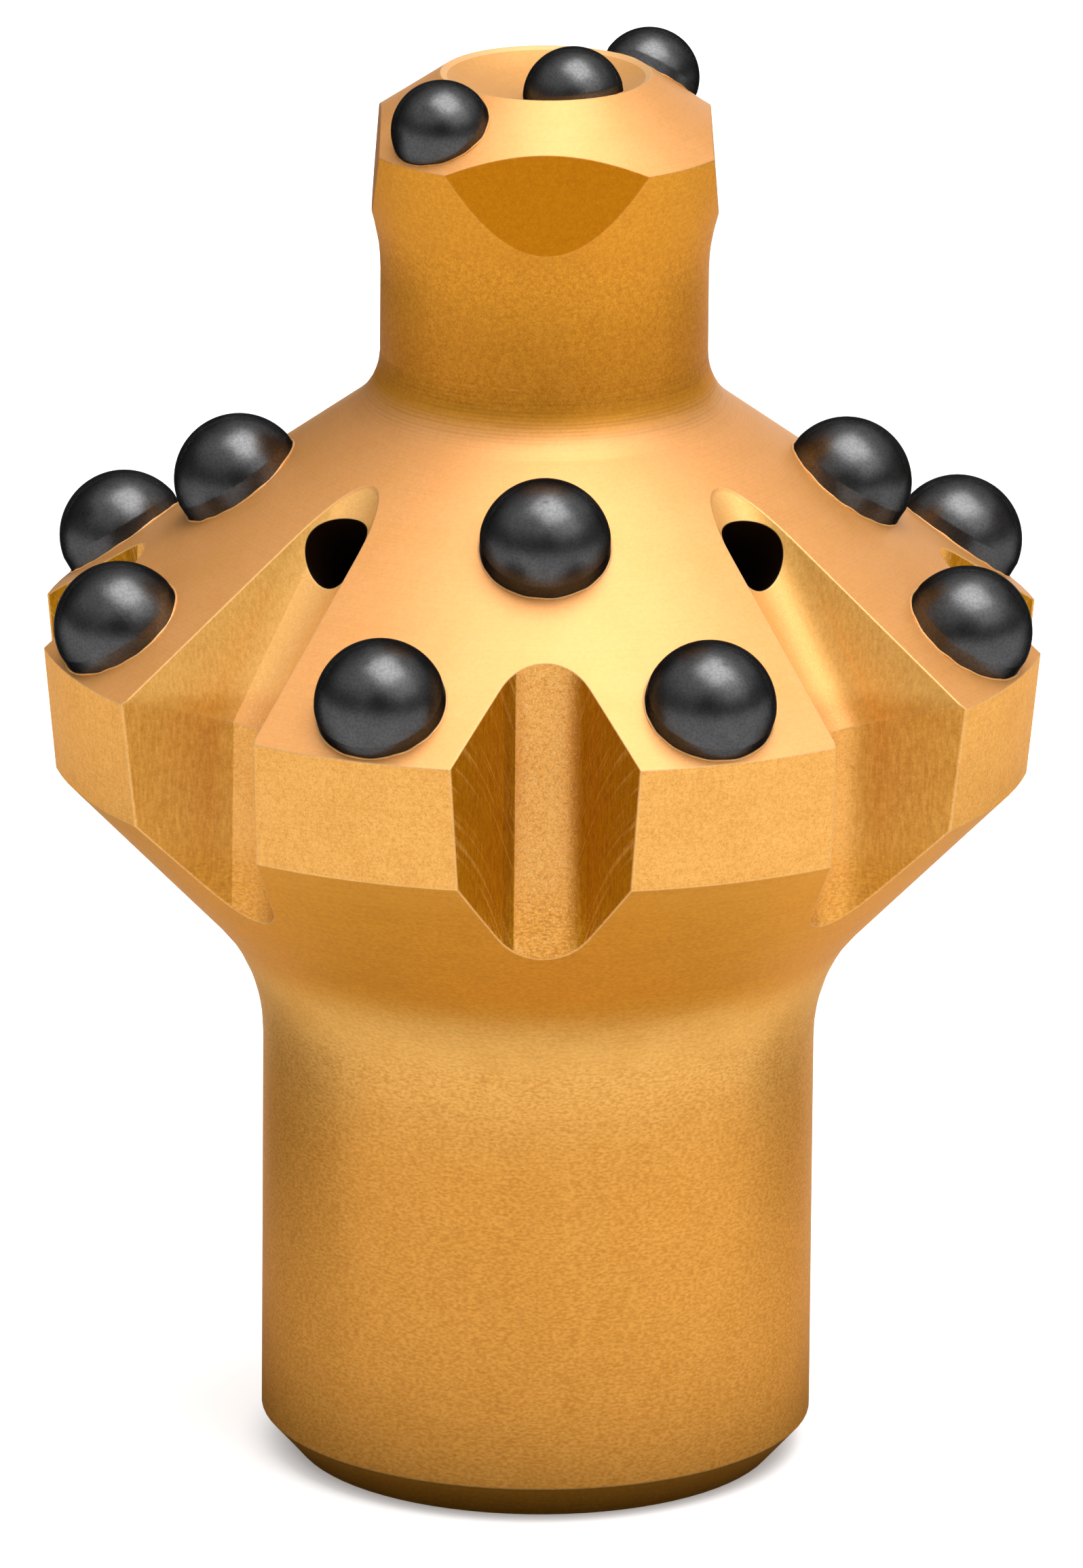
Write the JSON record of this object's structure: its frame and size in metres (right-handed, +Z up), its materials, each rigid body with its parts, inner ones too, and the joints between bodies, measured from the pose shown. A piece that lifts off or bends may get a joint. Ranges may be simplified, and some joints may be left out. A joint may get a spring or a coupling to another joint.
{
  "type": "reamer bit",
  "caption": "Coated steel reaming bit for rock drilling, with a pilot, fluted head, domed carbide buttons and a threaded drive skirt.",
  "frame": {"origin": "centre of the skirt's flat bottom face, where the bit stands", "axes": "+Z up the bit's axis towards the pilot; -Y towards the front wing; +X to the right seen from the front"},
  "size_m": [0.0976, 0.0976, 0.1439],
  "materials": {
    "coated_steel": "satin bronze-gold coating on turned and milled steel",
    "carbide": "ground graphite-black cemented carbide"
  },
  "bodies": {
    "root": {"bit_body": "coated_steel", "front_button_1": "carbide", "front_button_2": "carbide", "front_button_3": "carbide", "front_button_4": "carbide", "gauge_button_1": "carbide", "gauge_button_2": "carbide", "gauge_button_3": "carbide", "gauge_button_4": "carbide", "gauge_button_5": "carbide", "gauge_button_6": "carbide", "gauge_button_7": "carbide", "gauge_button_8": "carbide", "pilot_gauge_button_1": "carbide", "pilot_gauge_button_2": "carbide", "pilot_centre_button": "carbide"}
  },
  "joints": []
}
